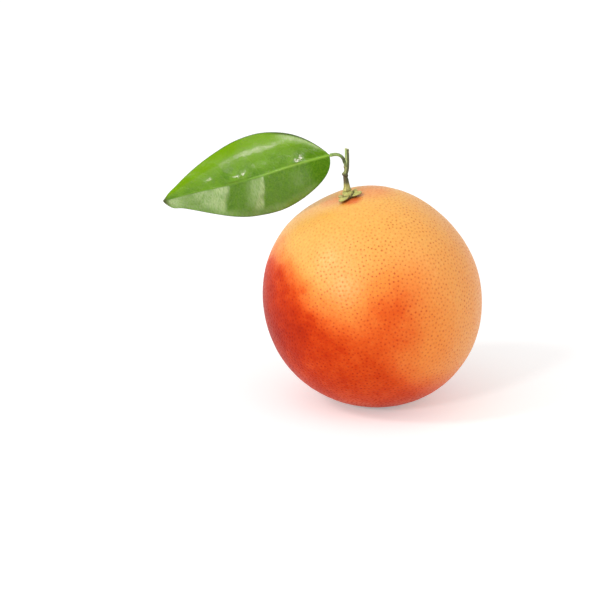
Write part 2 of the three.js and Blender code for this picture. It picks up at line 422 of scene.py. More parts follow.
def paint_ground(s):
    """Yellow on the shoulder that had the sun, and more orange away from it."""
    s.colour = s.mix(s.step(s.along((-0.50, 0.35, 0.79), 1.2), -0.40, 1.05), (250, 165, 72), (249, 189, 86))
    # A paler patch on the shoulder under the leaf is painted light, which lifts the shadow that the leaf
    # casts there.
    s.tint((252, 194, 106), s.along((-0.85, 0.0, 0.5), 1.0), 0.75, 1.0, 0.6)
    s.tint((250, 182, 92), s.patchy, 0.35, 0.7, 0.25)


def blush_and_shade_strength(s):
    """Orange to red over everything low down, deepest in a patch towards the leaf. That deep red on the left
    is partly the peel's own blush and partly painted shade and painted red reflected light. Its edge rises
    in front and dips beside that rise, and it thins out round the stylar scar."""
    blush_and_shade = s.plus(s.along((-0.28, -0.19, -0.94), 0.5), -0.113)
    for axis, reach, amount in BLUSH_WAVES:
        blush_and_shade = s.times_plus(s.step(s.along(axis, 0.3), cosine(reach), 1.0), amount, blush_and_shade)
    blush_and_shade = s.step(blush_and_shade, -0.372, 0.372, 0.70)
    for axis, reach, amount in BLUSH_AND_SHADE_PATCHES:
        blush_and_shade = s.times_plus(s.step(s.along(axis, 0.9), cosine(reach), 1.0), amount, blush_and_shade)
    # It levels off where it is deepest, and is mottled more and more towards there.
    blush_and_shade = s.times_plus(s.larger(s.plus(blush_and_shade, -0.72), 0.0), -0.68, blush_and_shade)
    mottle = s.plus(s.plus(s.patchy, s.noise(3.2, detail=4, roughness=0.65)), -1.0)
    return s.plus(blush_and_shade, s.times(mottle, s.step(blush_and_shade, 0.1, 0.9, 0.26)))


def paint_glands(s, blush_and_shade):
    """A small dark dot at the bottom of each pit, partly the gland's own colour and partly painted shade in
    the pit. Returns the dots and the relief.
    """
    distance = s.vector("LENGTH", s.read("gland_offset", "Vector"), result="Value")
    inside = s.math("GREATER_THAN", s.read("gland_near"), 0.001)
    share = s.math("DIVIDE", distance, s.read("gland_size"))
    dot = s.times(s.times(s.step(share, 1.25, 0.05), inside), s.read("gland_tone"))
    dark = s.mix(1.0, s.colour, (212, 138, 84), "MULTIPLY")
    # The peel between the glands is paler, where it has no blush: a painted highlight on the raised peel
    # between the pits.
    s.coat(s.times(s.step(distance, 0.6, 1.2, 0.14), s.step(blush_and_shade, 0.6, 0.0)), (255, 210, 130))
    s.coat(dot, dark)
    # Glands too deep to have a pit show as faint finer dots between.
    s.coat(s.step(s.spots(1.1), 0.36, 0.12, 0.25), (226, 190, 150), "MULTIPLY")
    pit = s.times(s.step(distance, 0.66, 0.0), inside)
    return dot, s.times_plus(pit, -1.0, s.times(s.fine, 0.55))


def peel_material():
    s = PeelShader()
    paint_ground(s)
    blush_and_shade = blush_and_shade_strength(s)
    # The deepest of these colours is partly painted shade and painted red reflected light.
    for colour, low, high in BLUSH_AND_SHADE_COLOURS:
        s.tint(colour, blush_and_shade, low, high)
    # Redder tints round the calyx, the strongest of them painted shade in front of it.
    for shift, reach, amount in STEM_STAINS_AND_SHADE:
        s.coat(s.disc(stem_direction + shift, reach, 0.0, amount), (238, 104, 52))
    s.coat(s.disc(scar_direction, 3.6, 2.2), (132, 92, 52))
    s.coat(s.step(s.fine, 0.3, 0.7, 0.35), (248, 214, 190), "MULTIPLY")
    dot, relief = paint_glands(s, blush_and_shade)
    roughness = s.times_plus(dot, 0.15, s.ramp(s.fine, 0.2, 0.8, 0.34, 0.44))
    gloss = s.ramp(blush_and_shade, 0.1, 0.8, 0.45, 0.06)
    return s.finish(roughness, relief, 0.09, Specular_IOR_Level=gloss, Subsurface_Weight=0.12,
                    Subsurface_Radius=(1.0, 0.45, 0.2), Subsurface_Scale=0.0015)


# ---- Calyx, twig and stalk materials ----

def sepal_material():
    s = MaterialShader("sepal")
    patchy = s.noise(1.6, detail=4, roughness=0.6)
    fine = s.noise(0.35)
    s.colour = s.mix(s.step(patchy, 0.3, 0.7), (172, 176, 94), (216, 206, 122))
    s.tint((196, 202, 128), s.read("boss"), 0.2, 0.9, 0.6)
    s.tint((132, 120, 60), fine, 0.5, 0.8, 0.3)
    browned = s.times_plus(s.plus(patchy, -0.5), 0.6, s.read("rim"))
    s.tint((126, 92, 40), browned, 0.82, 1.1, 0.7)
    # Creases and hollows are darkened with painted shade.
    s.tint((66, 48, 22), s.read("crease_shade"), 0.15, 0.8, 0.85)
    # The underside, facing the peel, is darkened with painted shade.
    s.tint((92, 70, 36), s.read("under"), 0.2, 0.8, 0.85)
    relief = s.times_plus(fine, 0.4, patchy)
    return s.finish(s.ramp(fine, 0.2, 0.8, 0.55, 0.75), relief, 0.30, Subsurface_Weight=0.1,
                    Subsurface_Radius=(0.6, 0.6, 0.2), Subsurface_Scale=0.0006)


def bark_material():
    s = MaterialShader("bark")
    height = s.read("height")
    streaks = s.noise(0.55, detail=4, roughness=0.6, where=s.stretched(1, 1, 0.16))
    streaky = s.step(streaks, 0.35, 0.65)
    patchy = s.noise(2.2)
    fine = s.noise(0.22)
    s.colour = s.mix(streaky, (120, 128, 66), (172, 176, 106))
    # The young top is a clear green, the foot is pale, and the part below the node is browner.
    s.tint(s.mix(streaky, (150, 174, 96), (190, 206, 140)), height, 9.5, 13.5)
    s.tint(s.mix(streaky, (150, 144, 72), (206, 198, 116)), height, 4.2, 2.6)
    below = s.times(s.band(height, (1.9, 4.3), (8.4, 7.0)), s.ramp(patchy, 0.25, 0.6, 0.75, 1.0))
    s.coat(below, s.mix(s.step(streaks, 0.3, 0.7), (60, 46, 26), (106, 86, 48)))
    axil = s.times(s.band(height, (8.6, 9.8), (13.0, 10.6)), s.ramp(patchy, 0.36, 0.6, 0.1, 0.8))
    s.coat(axil, (98, 84, 46))
    shaded = s.times(s.step(s.read("side"), 0.04, 0.30), s.ramp(height, 1.5, 5.5, 0.30, 0.88))
    s.coat(shaded, (64, 68, 30))
    lenticels = s.spots(1.5, where=s.stretched(1, 1, 0.55))
    s.tint((196, 182, 128), lenticels, 0.26, 0.14, 0.6)
    s.coat(s.read("scar"), (62, 48, 26))
    s.tint(s.mix(s.step(fine, 0.3, 0.7), (206, 204, 150), (222, 216, 170)), s.read("cut"), 0.4, 0.6)
    return s.finish(s.ramp(streaks, 0.2, 0.8, 0.5, 0.75), s.times_plus(fine, 0.4, streaks), 0.12)


def stalk_material():
    s = MaterialShader("stalk")
    along = s.read("along")
    streaks = s.noise(0.5, where=s.stretched(0.25, 1, 0.4))
    s.colour = s.mix(s.step(streaks, 0.3, 0.7), (104, 130, 58), (146, 170, 94))
    s.tint((94, 92, 46), along, 0.30, 0.05, 0.7)
    s.coat(s.times(s.band(along, (0.16, 0.24), (0.58, 0.40)), 0.85), (54, 60, 24))
    s.tint((150, 184, 92), along, 0.86, 0.98, 0.7)
    relief = s.times_plus(s.noise(0.2), 0.5, streaks)
    return s.finish(s.ramp(streaks, 0.2, 0.8, 0.42, 0.6), relief, 0.07, Subsurface_Weight=0.1,
                    Subsurface_Radius=(0.5, 0.6, 0.2), Subsurface_Scale=0.0005)


# ---- Leaf materials ----

class LeafShader(MaterialShader):
    """One face of the leaf, with what both faces share."""

    def __init__(self, name):
        super().__init__(name)
        self.along, self.across, self.vein, self.rib = map(self.read, ("along", "across", "vein", "rib"))
        self.patchy = self.noise(3.5, detail=4, roughness=0.6)
        self.fine = self.noise(0.5, roughness=0.6)
        self.net = self.step(self.spots(1.1, feature="DISTANCE_TO_EDGE"), 0.10, 0.02)

    def relief(self, net_height, vein_height):
        relief = self.times_plus(self.net, net_height, self.times(self.fine, 0.5))
        return self.times_plus(self.vein, vein_height, relief)

    def finish_leaf(self, roughness, gloss, relief, depth):
        """Darkens the margin and the tip, and ends the material."""
        self.tint((66, 92, 30), self.math("ABSOLUTE", self.across), 0.955, 0.995, 0.65)
        self.tint((70, 72, 30), self.along, 0.955, 0.995, 0.85)
        return self.finish(roughness, relief, depth, Subsurface_Weight=0.35,
                           Subsurface_Radius=(0.35, 0.7, 0.12), Subsurface_Scale=0.0006,
                           Specular_IOR_Level=gloss, Specular_Tint=(1.0, 0.75, 0.9, 1.0))


def paint_leaf_face(s, sheen_paint):
    s.colour = s.mix(s.step(s.patchy, 0.3, 0.7), (73, 122, 2), (95, 143, 4))
    s.tint((110, 158, 2), s.noise(11, detail=2), 0.35, 0.65, 0.5)
    # Yellower towards the upper margin and darker below the midrib, partly the leaf's own tone and partly
    # painted light and painted shade, and darker by the stalk.
    s.tint((118, 163, 2), s.across, 0.20, 0.80, 0.8)
    s.tint((70, 114, 2), s.across, 0.03, -0.08, 0.7)
    s.tint((62, 108, 4), s.along, 0.24, 0.08, 0.6)
    s.tint((134, 174, 44), s.noise(0.9, detail=2), 0.38, 0.62, 0.16)
    s.tint((142, 180, 64), s.vein, 0.2, 1.0, 0.17)
    s.coat(s.times(s.net, 0.10), (150, 186, 70))
    # Pale painted sheen, standing for highlights and reflections on the gloss.
    s.coat(s.times(sheen_paint, 0.78), (178, 198, 138))
    s.coat(s.times(s.rib, s.ramp(s.along, 0.66, 0.22, 0.06, 0.80)), (150, 192, 70))
    s.tint((156, 190, 70), s.spots(0.9), 0.22, 0.10, 0.12)
    # A dark line along the upper margin by the stalk is painted shade on the turned edge.
    s.coat(s.times(s.step(s.across, 0.90, 0.955), s.step(s.along, 0.36, 0.22, 0.85)), (70, 92, 36))


def leaf_face_gloss(s, grain):
    """Duller by the stalk, and in the outer part of the upper half but for the middle of its length."""
    dull = s.times(s.step(s.along, 0.46, 0.56, 0.9), s.step(s.across, 0.48, 0.66))
    dull = s.larger(dull, s.step(s.along, 0.36, 0.26, 0.5))
    dull = s.times(dull, s.step(s.across, 0.25, 0.50))
    dull = s.larger(dull, s.step(s.along, 0.17, 0.10, 0.8))
    return s.times(s.ramp(dull, 0.0, 1.0, 0.38, 0.04), s.ramp(grain, 0.38, 0.62, 0.45, 1.25))


def leaf_face_material():
    s = LeafShader("leaf_face")
    # The grain runs across the blade, from the midrib to the margin.
    lanes = s.node("CombineXYZ", X=s.times(s.along, 150.0), Y=s.times(s.across, 7.0)).outputs[0]
    grain = s.node("TexNoise", Vector=lanes, Scale=1.0, Detail=3.0).outputs["Fac"]
    # Pale sheen is painted on the face in places, in fine streaks along the grain, and the face is rougher
    # there.
    sheen_paint = s.times(s.read("painted_sheen"), s.ramp(grain, 0.30, 0.62, 0.55, 1.0))
    paint_leaf_face(s, sheen_paint)
    ridged = s.plus(s.ramp(s.across, -0.04, 0.02, 1.6, 0.15), s.step(s.across, 0.30, 0.45, 0.25))
    relief = s.times_plus(grain, ridged, s.relief(-0.35, -0.2))
    roughness = s.times_plus(sheen_paint, 0.14, s.ramp(s.fine, 0.25, 0.75, 0.11, 0.18))
    return s.finish_leaf(roughness, leaf_face_gloss(s, grain), relief, 0.035)


def leaf_underside_material():
    s = LeafShader("leaf_underside")
    s.colour = s.mix(s.step(s.patchy, 0.3, 0.7), (132, 166, 84), (150, 180, 100))
    s.tint((178, 198, 124), s.vein, 0.2, 1.0, 0.6)
    s.coat(s.times(s.net, 0.30), (170, 194, 118))
    s.coat(s.rib, (188, 204, 132))
    s.tint((112, 146, 66), s.spots(0.9), 0.24, 0.12, 0.35)
    return s.finish_leaf(s.ramp(s.fine, 0.25, 0.75, 0.55, 0.7), 0.2, s.relief(0.5, 1.2), 0.08)


# ---- Fruit ----

GLANDS = 8300
SHAKE = 0.42  # how far glands are shaken off their spiral, as a share of their spacing
RELAXING_ROUNDS = 4
PEEL_LUMPS = [(0.12, 14, 11), (0.05, 5, 12), (0.025, 1.7, 13)]  # height, size and seed
PEEL_INSET = 0.27  # keeps the lumps inside the CAD's box
PIT_DEPTH = 0.16
RIM_SOFTNESS = 0.35
BAKE_PATCH = 0.46  # half the side of each square of the bake's layout, as a share of its cell


def even_directions(count):
    """Directions spread evenly but not in rows: a spiral, shaken and then relaxed."""
    index = np.arange(count) + 0.5
    polar = np.arccos(1 - 2 * index / count)
    turn = math.pi * (1 + 5 ** 0.5) * index
    spots = places(np.sin(polar) * np.cos(turn), np.sin(polar) * np.sin(turn), np.cos(polar))
    spacing = math.sqrt(4 * math.pi / count)
    spots = unit(spots + rng.normal(0, SHAKE * spacing, spots.shape))
    for _ in range(RELAXING_ROUNDS):
        tree = kdtree.KDTree(count)
        for i, spot in enumerate(spots):
            tree.insert(spot, i)
        tree.balance()
        near = np.array([[found[1] for found in tree.find_n(spot, 8)] for spot in spots])[:, 1:]
        apart = spots[:, None, :] - spots[near]
        far = np.linalg.norm(apart, axis=2, keepdims=True)
        push = np.clip(1.25 * spacing - far, 0, None) * apart / np.maximum(far, 1e-6)
        spots = unit(spots + 0.28 * push.sum(axis=1))
    return spots


def hull_faces(spots):
    """Triangles that join spots on a sphere, each with its front outward."""
    hull = bmesh.new()
    for spot in spots:
        hull.verts.new(spot)
    bmesh.ops.convex_hull(hull, input=hull.verts)
    hull.verts.index_update()
    bmesh.ops.triangulate(hull, faces=hull.faces)
    faces = np.array([[corner.index for corner in face.verts] for face in hull.faces])
    hull.free()
    a, b, c = np.moveaxis(spots[faces], 1, 0)
    inward = np.sum(np.cross(b - a, c - a) * a, axis=1) < 0
    faces[inward] = faces[inward][:, ::-1]
    return faces


def split_faces(spots, faces):
    """Cuts edges in three, triangles in nine. Returns points, faces and a nearest spot for each point."""
    sides = np.vstack([faces[:, [0, 1]], faces[:, [1, 2]], faces[:, [2, 0]]])
    edges, which = np.unique(np.sort(sides, axis=1), axis=0, return_inverse=True)
    which = which.reshape(-1)
    first, second = spots[edges.T]
    middles = spots[faces].mean(axis=1)
    points = np.vstack([spots, (2 * first + second) / 3, (first + 2 * second) / 3, middles])
    nearest = np.r_[np.arange(len(spots)), edges.T.ravel(), faces[:, 0]]

    swapped = sides[:, 0] != edges[which, 0]
    near = len(spots) + which + len(edges) * swapped
    far = len(spots) + which + len(edges) * ~swapped
    a, b, c = faces.T
    ab1, bc1, ca1 = near.reshape(3, -1)
    ab2, bc2, ca2 = far.reshape(3, -1)
    m = len(spots) + 2 * len(edges) + np.arange(len(faces))
    parts = [(a, ab1, ca2), (ab1, ab2, m), (ab2, b, bc1), (ab2, bc1, m), (bc1, bc2, m), (bc2, c, ca1),
             (bc2, ca1, m), (ca1, ca2, m), (ca2, ab1, m)]
    return points, np.vstack([np.stack(part, axis=1) for part in parts]), nearest


def cube_map(mesh, directions, faces):
    """Lays the fruit's skin out as six square patches, each nearly free of stretching."""
    facing = directions[faces].mean(axis=1)
    major = np.abs(facing).argmax(axis=1)[:, None]
    positive = np.take_along_axis(facing, major, axis=1) > 0
    # Each corner's share along the patch's own axis, then along the two others.
    order = (major + np.arange(3)) % 3
    corners = np.take_along_axis(directions[faces], order[:, None, :], axis=2)
    flat = np.arctan(corners[:, :, 1:] / np.abs(corners[:, :, :1])) / (math.pi / 4)
    flat[:, :, 0] *= np.where(positive, 1, -1)
    patch = 2 * major + positive
    cell = np.stack([patch % 3, patch // 3], axis=2)
    uv = (cell + 0.5 + BAKE_PATCH * flat) / 3
    mesh.uv_layers.new(name="OFBake").data.foreach_set("uv", uv.ravel())


def gland_strength(glands):
    """Pits are weaker round the stem end and on the upper left shoulder, and no two are quite alike."""
    strength = np.clip(0.82 + 0.30 * rng.standard_normal(GLANDS), 0.20, 1.2)
    strength *= 0.75 + 0.25 * lattice_noise(glands * GIRTH_RADIUS, 9, seed=3)
    strength *= 1 - 0.65 * bell(off_axis(glands, stem_direction), math.radians(30))
    strength *= 1 - 0.5 * bell(off_axis(glands, unit([-0.8, -0.2, 0.5])), math.radians(35))
    return np.clip(strength, 0.05, 1.2)


def peel_shape(directions, strength):
    """The peel with its lumps, pits and flat spot. The first directions are the glands'."""
    rise = np.full(len(directions), -PEEL_INSET)
    for height, size, seed in PEEL_LUMPS:
        rise += height * lattice_noise(directions * GIRTH_RADIUS, size, seed)
    rise[:GLANDS] -= PIT_DEPTH * (0.35 + 0.65 * strength)
    shape = peel_points(directions) + directions * rise[:, None] + middle
    # The flat spot has a soft rim.
    low = shape[:, 2]
    soft = RIM_SOFTNESS * np.exp(np.minimum(low, RIM_SOFTNESS) / RIM_SOFTNESS - 1)
    shape[:, 2] = np.maximum(low, soft)
    return shape


def make_fruit():
    glands = even_directions(GLANDS)
    points, faces, nearest = split_faces(glands, hull_faces(glands))
    directions = unit(points)
    strength = gland_strength(glands)
    size = np.clip(0.57 + 0.08 * rng.standard_normal(GLANDS), 0.36, 0.72)
    shape = peel_shape(directions, strength)
    attributes = {
        "gland_offset": shape - shape[nearest],
        "gland_near": np.arange(len(shape)) < GLANDS,
        "gland_size": size[nearest],
        "gland_tone": strength[nearest],
    }
    piece = make_piece("peel_skin", shape, faces, attributes, [peel_material()])
    cube_map(piece.data, directions, faces)
    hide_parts("fruit")
    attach(piece, "root")


# ---- Calyx ----

CUP_RADIUS = 3.3
BOSS_HEIGHT = 2.55
# Five sepals, seen from above: heading, length from the axis, half width in degrees, and how pointed.
SEPALS = [
    (243, 9.2, 36, 1.25), (328, 7.2, 38, 0.5), (36, 5.2, 26, 0.7), (104, 6.2, 34, 0.9), (172, 5.2, 31, 0.9),
]
# Knobs and hollows of the calyx: heading, distance from the axis, height and radius.
CALYX_LUMPS = [
    (190, 2.4, 1.20, 0.8), (262, 1.9, 0.55, 0.7), (318, 2.1, 0.60, 0.7), (298, 3.7, -0.85, 0.7),
    (338, 4.4, 0.90, 0.9), (318, 5.8, 0.40, 0.8), (240, 6.6, 0.40, 0.9), (104, 3.6, 0.50, 1.0),
    (34, 3.5, 0.45, 0.9),
]


def sepal_reach(heading):
    """The calyx's outline, and how far each heading lies from its sepal's ridge, from 0 to 1."""
    reach = np.full_like(heading, CUP_RADIUS)
    away = np.ones_like(heading)
    for angle, length, half_width, point in SEPALS:
        turn = np.abs((np.degrees(heading) - angle + 540) % 360 - 180) / half_width
        reach += (length - CUP_RADIUS) * np.clip(1 - turn ** 1.7, 0, 1) ** point
        away = np.minimum(away, turn)
    return reach, away


def calyx_thickness(distance, heading, share, away, out):
    """The calyx's thickness, the creases between its sepals and all of its hollows, whose depth also sets
    the painted shade in them.
    """
    thick = 1.25 - 0.45 * share ** 2 + 0.42 * (1 - away ** 2) * out
    # Each sepal is parted from the next by a crease that runs up the cup.
    crease = fade(0.80, 1.0, away) * fade(1.7, 2.9, distance)
    # A groove parts the knobs round the stalk from the sepals, and is painted dark with shade.
    groove = bell(distance - 2.9, 0.50) * (0.8 + 0.2 * np.sin(5 * heading))
    thick -= 0.95 * crease + 0.75 * groove
    hollow = np.maximum(0.9 * crease, 0.95 * groove)
    for angle, from_axis, height, radius in CALYX_LUMPS:
        apart = np.abs(distance * np.exp(1j * heading) - from_axis * np.exp(1j * math.radians(angle)))
        thick += height * bell(apart, radius)
        hollow = np.maximum(hollow, -height * bell(apart, 1.25 * radius))
    return thick, crease, hollow


def make_calyx():
    rows, turns = 34, 300
    heading, share = np.meshgrid(full_turn(turns), np.linspace(0, 1, rows) ** 0.85)
    reach, away = sepal_reach(heading)
    distance = share * reach
    wobble = lattice_noise(places(distance * np.cos(heading), distance * np.sin(heading)), 1.3, seed=21)
    out = fade(2.2, 5.2, distance)
    thick, crease, hollow = calyx_thickness(distance, heading, share, away, out)
    lift = 0.02 + 0.95 * share ** 3 * out + 0.10 * wobble * out
    boss = np.exp(-(distance / 2.15) ** 2.6)
    edge = np.sqrt(np.clip(1 - share ** 6, 0, 1))
    top = lift + (thick + 0.06 * wobble) * (0.25 + 0.75 * edge) + BOSS_HEIGHT * boss
    # From the middle of the underside out to the rim, and back over the top to the middle.
    points = np.vstack([over_peel(distance, heading, lift), over_peel(distance, heading, top)[::-1]])
    attributes = {
        "rim": np.vstack([share, share[::-1]]) ** 5,
        "crease_shade": np.vstack([crease, hollow[::-1]]),
        "boss": np.vstack([0 * boss, boss[::-1]]),
        "under": np.repeat([1.0, 0.0], share.size),
    }
    faces = grid_faces(2 * rows, turns, closed=True)[:, ::-1]
    piece = make_piece("sepals", points, faces, attributes, [sepal_material()])
    mend(piece)
    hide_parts("calyx")
    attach(piece, "root")


# ---- Twig ----

AXIL_HEIGHT = 11.2
# The hollow of the cut end: rings as a share of its rim, and how far each is sunk.
CUT_RINGS = [(0.88, -0.02), (0.74, 0.03), (0.5, 0.05), (0.3, 0.16), (0.12, 0.2), (0.0, 0.2)]


def tube(line, shares, angles, radius, side_axis):
    """Rings of points along a line. radius gives each point's distance from it, side_axis is at angle 0."""
    tangents = line.tangent(shares)
    side = unit(side_axis - tangents * (tangents @ side_axis)[:, None])
    other = np.cross(tangents, side)
    ring = side[:, None, :] * np.cos(angles)[:, None] + other[:, None, :] * np.sin(angles)[:, None]
    return line.point(shares)[:, None, :] + ring * radius[:, :, None], tangents


def shrunk(ring, share, shift=0.0):
    """A ring drawn in towards its middle and shifted."""
    centre = ring.mean(axis=0)
    return centre + (ring - centre) * share + shift


def leafwards(angles):
    """1 on the leaf's side of the twig, falling to 0 on the sides that face away."""
    return np.clip(np.cos(angles - math.pi), 0, 1)


def twig_form(height, angles, shares):
    """The twig's radius, and the dark scars just under its node and in the stalk's axil."""
    lumps = lattice_noise(places(2 * np.cos(angles), 2 * np.sin(angles), 0.7 * height), 0.9, seed=31)
    radius = 1.12 - 0.12 * shares + 0.43 * bell(height, 4) + 0.035 * lumps
    radius += 0.10 * np.cos(3 * (angles - 0.35 - 0.06 * height)) * fade(3, 12, height)
    radius += 0.04 * np.cos(7 * angles + 0.3 * height)
    # A bract fell off at the node, and left a ridge that is highest on the leaf's side.
    over_node = height - NODE_HEIGHT - 0.25 * np.cos(angles - math.pi)
    radius += bell(over_node, 0.5) * (0.30 + 0.28 * leafwards(angles)) - 0.06 * bell(over_node + 1.0, 0.5)
    # Just under the stalk a lip holds the axil bud.
    over_axil = height - AXIL_HEIGHT
    radius += 0.45 * bell(over_axil, 1.2) * leafwards(angles) ** 2
    # The foot spreads into the calyx.
    radius += 0.55 * np.exp(-height / 0.6)
    scar = 0.85 * bell(over_node + 0.45, 0.38)
    return radius, np.maximum(scar, 0.7 * bell(over_axil + 0.2, 0.8) * leafwards(angles + 0.5) ** 3)


def make_twig():
    rings, turns = 220, 72
    shares = np.linspace(0, 1, rings)
    height = (shares * twig_line.length)[:, None]
    angles = full_turn(turns)
    radius, scar = twig_form(height, angles, shares[:, None])
    points, tangents = tube(twig_line, shares, angles, radius, (1, 0, 0))
    points[0] -= tangents[0] * 0.5
    # The cut end slopes up towards the leaf, and is slightly hollow where the pith has dried.
    slope = 0.30 * (points[-1, :, 0] - points[-1, :, 0].mean())
    points[-1] -= tangents[-1] * slope[:, None]
    points[-2] = points[-1] - tangents[-1] * 0.05
    hollow = [shrunk(points[-1], share, -tangents[-1] * drop) for share, drop in CUT_RINGS]
    every = np.vstack([[shrunk(points[0], 0)], points, hollow])
    row_height = np.r_[0, height[:, 0], np.full(len(hollow), twig_line.length)]
    attributes = {
        "height": np.repeat(row_height, turns),
        "cut": np.repeat(np.r_[np.zeros(rings + 1), 0.3, np.ones(len(hollow) - 1)], turns),
        "scar": np.pad(scar, ((1, len(hollow)), (0, 0))),
        "side": np.tile(np.clip(np.cos(angles + 0.35), 0, 1), len(every)),
    }
    faces = grid_faces(len(every), turns, closed=True)
    piece = make_piece("twig", every, faces, attributes, [bark_material()])
    mend(piece)
    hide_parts("stem")
    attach(piece, "root")


# ---- Leaf stalk ----

def stalk_radius(along, angles):
    foot, waist, head = 1.0, 0.78, 0.88
    radius = waist + (np.where(along < 0.5, foot, head) - waist) * (2 * along - 1) ** 2
    # It has a swell above its foot, and a narrow seam where it would break off.
    radius += 0.10 * bell(along - 0.24, 0.06) - 0.10 * bell(along - 0.33, 0.018)
    radius = radius + 0.03 * np.cos(5 * angles + 2 * along) + 0.02 * np.cos(11 * angles)
    # The upper side is channelled.
    from_top = np.angle(np.exp(1j * (angles - math.pi / 2)))
    return radius - 0.12 * bell(from_top, 0.5) * fade(0.3, 0.5, along)


def make_stalk():
    rings, turns = 120, 48
    shares = np.linspace(0, 1, rings)
    angles = full_turn(turns)
    points, tangents = tube(stalk_line, shares, angles, stalk_radius(shares[:, None], angles), (0, -1, 0))
    tail = [shrunk(points[-1], share, tangents[-1] * rise) for share, rise in ((0.5, 0.25), (0.0, 0.3))]
    every = np.vstack([[shrunk(points[0], 0)], points, tail])
    attributes = {"along": np.repeat(np.r_[0, shares, 1, 1], turns)}
    faces = grid_faces(len(every), turns, closed=True)
    piece = make_piece("leaf_stalk", every, faces, attributes, [stalk_material()])
    mend(piece)
    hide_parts("petiole")
    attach(piece, "root")


# ---- Leaf blade ----

BLADE_THICKNESS = 0.34
OPENED_CURL = 42.0
OPENED_NARROWING = 0.10
# Side veins: where each leaves the midrib, as a share of its length, on the upper and lower halves.
UPPER_VEINS = [0.05, 0.13, 0.22, 0.31, 0.41, 0.50, 0.60, 0.70, 0.80, 0.89]
LOWER_VEINS = [0.08, 0.17, 0.265, 0.36, 0.455, 0.55, 0.65, 0.75, 0.85]
# Blisters between the side veins of the glossy face: the place along and across it as shares, and the
# height and the spread along and across in millimetres.
BLISTERS = [
    (0.20, 0.01, 0.70, 5.0, 3.4), (0.56, 0.08, 1.00, 5.6, 4.6), (0.75, 0.36, 0.42, 3.8, 5.4),
    (0.44, -0.34, 0.42, 2.6, 8.0), (0.57, -0.32, -0.34, 2.2, 6.0), (0.66, -0.40, 0.28, 4.0, 6.0),
    (0.30, -0.40, -0.22, 4.6, 5.0), (0.17, -0.48, 0.20, 3.6, 4.0), (0.82, -0.45, 0.18, 4.0, 3.6),
]


def blade_noise(u, v, breadth, size, seed):
    """Noise over the blade, with each of its halves counted as so many millimetres broad."""
    return lattice_noise(places(u * 86, v * breadth), size, seed)


def blade_painted_sheen(u, v):
    """Where pale sheen, standing for highlights and reflections, is painted on the glossy face, from 0 to 1.
    """
    out = np.clip(-v, 0, 1)
    spread = blade_noise(u, v, 12, 3.6, seed=43)
    swept = u - 0.07 * out ** 1.3 + 0.008 * spread
    tip = fade(0.585, 0.615, swept) * (1 - 0.45 * fade(0.62, 0.80, u) * fade(0.97, 0.82, u))
    tip *= fade(1.0, 0.95, u) * (1 - 0.5 * fade(0.55, 1, out))
    streak = fade(0.392, 0.404, swept) * fade(0.43 + 0.08 * out, 0.40 + 0.04 * out, swept)
    streak *= fade(1.0, 0.6, out)
    between = 0.55 * bell(swept - 0.45, 0.042) * fade(0.9, 0.5, out)
    patch = 0.22 * bell(u - 0.20, 0.045) * bell(out - 0.42, 0.22)
    margin = 0.28 * fade(0.70, 0.90, out) * fade(0.06, 0.2, u)
    cover = np.maximum.reduce([tip, streak, between, patch, margin]) * fade(0.0, 0.06, out)
    # On the upper half the painted sheen lies along the margin by the stalk.
    cover += fade(0.32, 0.16, u) * fade(0.0, 0.06, u) * bell(v - 0.86, 0.13)
    return np.clip(cover * (1 + 0.45 * spread), 0, 1)


def half_width(half, u):
    inside = np.clip(u, 1e-6, 1 - 1e-6)
    outline = np.sin(math.pi * inside ** half["peak"]) ** half["taper"]
    outline *= 1 - half["crown"] * np.cos(2 * math.pi * inside)
    return np.maximum(0.5, half["reach"] * outline + half["shoulder"] * bell(u - 0.955, 0.04))


def blade_width(u, v):
    """How far the margin is from the midrib, in millimetres and as a share of that half's reach."""
    width = np.where(v > 0, half_width(UPPER_HALF, u), half_width(LOWER_HALF, u))
    return width, width / np.where(v > 0, UPPER_HALF["reach"], LOWER_HALF["reach"])


def vein_path(out):
    """How far towards the tip a side vein has swept by a share of the way out, as a share of the length."""
    return 0.085 * out + 0.075 * out ** 2.2


def blade_surface(u, v, depth):
    """Points of the blade, u along the midrib, v across it, depth in front of its middle surface."""
    along = midrib.tangent(u)
    across = unit((0, 0, 1) - along * along[..., 2:])
    across = across * cosine(BLADE_LEAN) + np.cross(along, across) * sine(BLADE_LEAN)
    front = unit(np.cross(across, along))
    width, room = blade_width(u, v)
    # Towards the tip the lower half opens out, and its margin comes forward instead of turning back.
    opened = np.where(v > 0, 0, fade(0.48, 0.72, u))
    curl = np.where(v > 0, UPPER_HALF["curl"], LOWER_HALF["curl"]) - OPENED_CURL * opened
    curl = np.radians(curl) * room
    curl = np.where(np.abs(curl) < 1e-4, 1e-4, curl)
    radius = width * (1 - OPENED_NARROWING * opened * room) / curl
    out = (radius + depth) * np.sin(v * curl)
    forward = (radius + depth) * np.cos(v * curl) - radius
    return midrib.point(u) + across * out[..., None] + front * forward[..., None]


def side_veins(u, v):
    """Marks of the side veins, and of the quilted swells between them."""
    out = np.abs(v)
    swept = u - vein_path(out) + 0.006 * lattice_noise(places(u * 14, v * 3), 1.0, seed=41)
    vein, quilt = np.zeros((2, *u.shape))
    for veins, here in ((UPPER_VEINS, v > 0), (LOWER_VEINS, v <= 0)):
        stops = np.array([-0.05] + veins + [1.02])
        index = np.clip(np.searchsorted(stops, swept) - 1, 0, len(stops) - 2)
        low, high = stops[index], stops[index + 1]
        share = np.clip((swept - low) / (high - low), 0, 1)
        gap = np.minimum(np.abs(swept - low), np.abs(high - swept)) * midrib.length
        vein = np.where(here, bell(gap, 0.30 - 0.14 * out) * fade(0.99, 0.78, out), vein)
        quilt = np.where(here, np.sin(math.pi * share) ** 0.9, quilt)
    return vein, quilt


